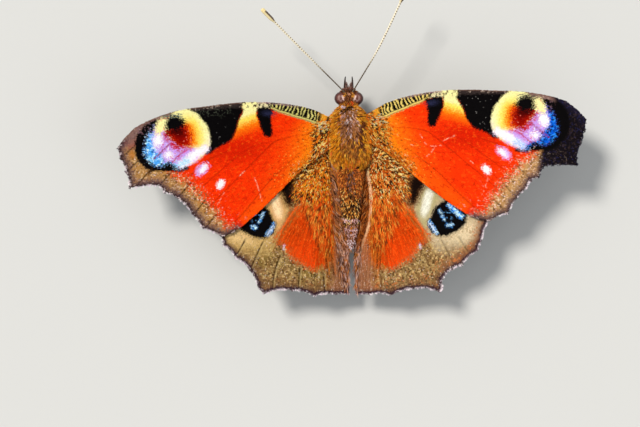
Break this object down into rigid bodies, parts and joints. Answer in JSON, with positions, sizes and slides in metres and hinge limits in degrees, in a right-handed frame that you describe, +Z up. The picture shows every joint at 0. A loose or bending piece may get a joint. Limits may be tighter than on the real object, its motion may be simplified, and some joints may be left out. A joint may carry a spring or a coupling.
{
  "type": "peacock butterfly",
  "caption": "Peacock butterfly at life size, standing with its scalloped, eyespotted wings spread nearly flat, clubbed antennae forward and a slender furry body.",
  "frame": {"origin": "on the floor, under the middle of the outline, close below the thorax", "axes": "+Z up, the head towards -Y, the animal's left wing towards +X"},
  "size_m": [0.0653, 0.0437, 0.0109],
  "materials": {
    "fur": "golden-brown hair, silky",
    "forewing_scales": "matt overlapping scales, red with black, yellow and blue markings",
    "hindwing_scales": "matt overlapping scales, tawny and red with a blue eyespot",
    "eye": "dark faceted eye with a pinkish sheen",
    "antenna": "checked pale and dark brown, pale tip",
    "mouthparts": "dark brown, scaly",
    "leg": "brown, fine short scales"
  },
  "bodies": {
    "root": {"head": "fur", "eye_left": "eye", "eye_right": "eye", "prothorax": "fur", "thorax": "fur", "abdomen": "fur", "palp_left": "mouthparts", "palp_right": "mouthparts", "proboscis": "mouthparts", "antenna_left": "antenna", "antenna_right": "antenna", "forewing_left": "forewing_scales", "forewing_right": "forewing_scales", "hindwing_left": "hindwing_scales", "hindwing_right": "hindwing_scales", "foreleg_left": "leg", "foreleg_right": "leg", "midleg_left_femur": "leg", "midleg_left_tibia": "leg", "midleg_left_tarsus": "leg", "midleg_right_femur": "leg", "midleg_right_tibia": "leg", "midleg_right_tarsus": "leg", "hindleg_left_femur": "leg", "hindleg_left_tibia": "leg", "hindleg_left_tarsus": "leg", "hindleg_right_femur": "leg", "hindleg_right_tibia": "leg", "hindleg_right_tarsus": "leg"}
  },
  "joints": []
}
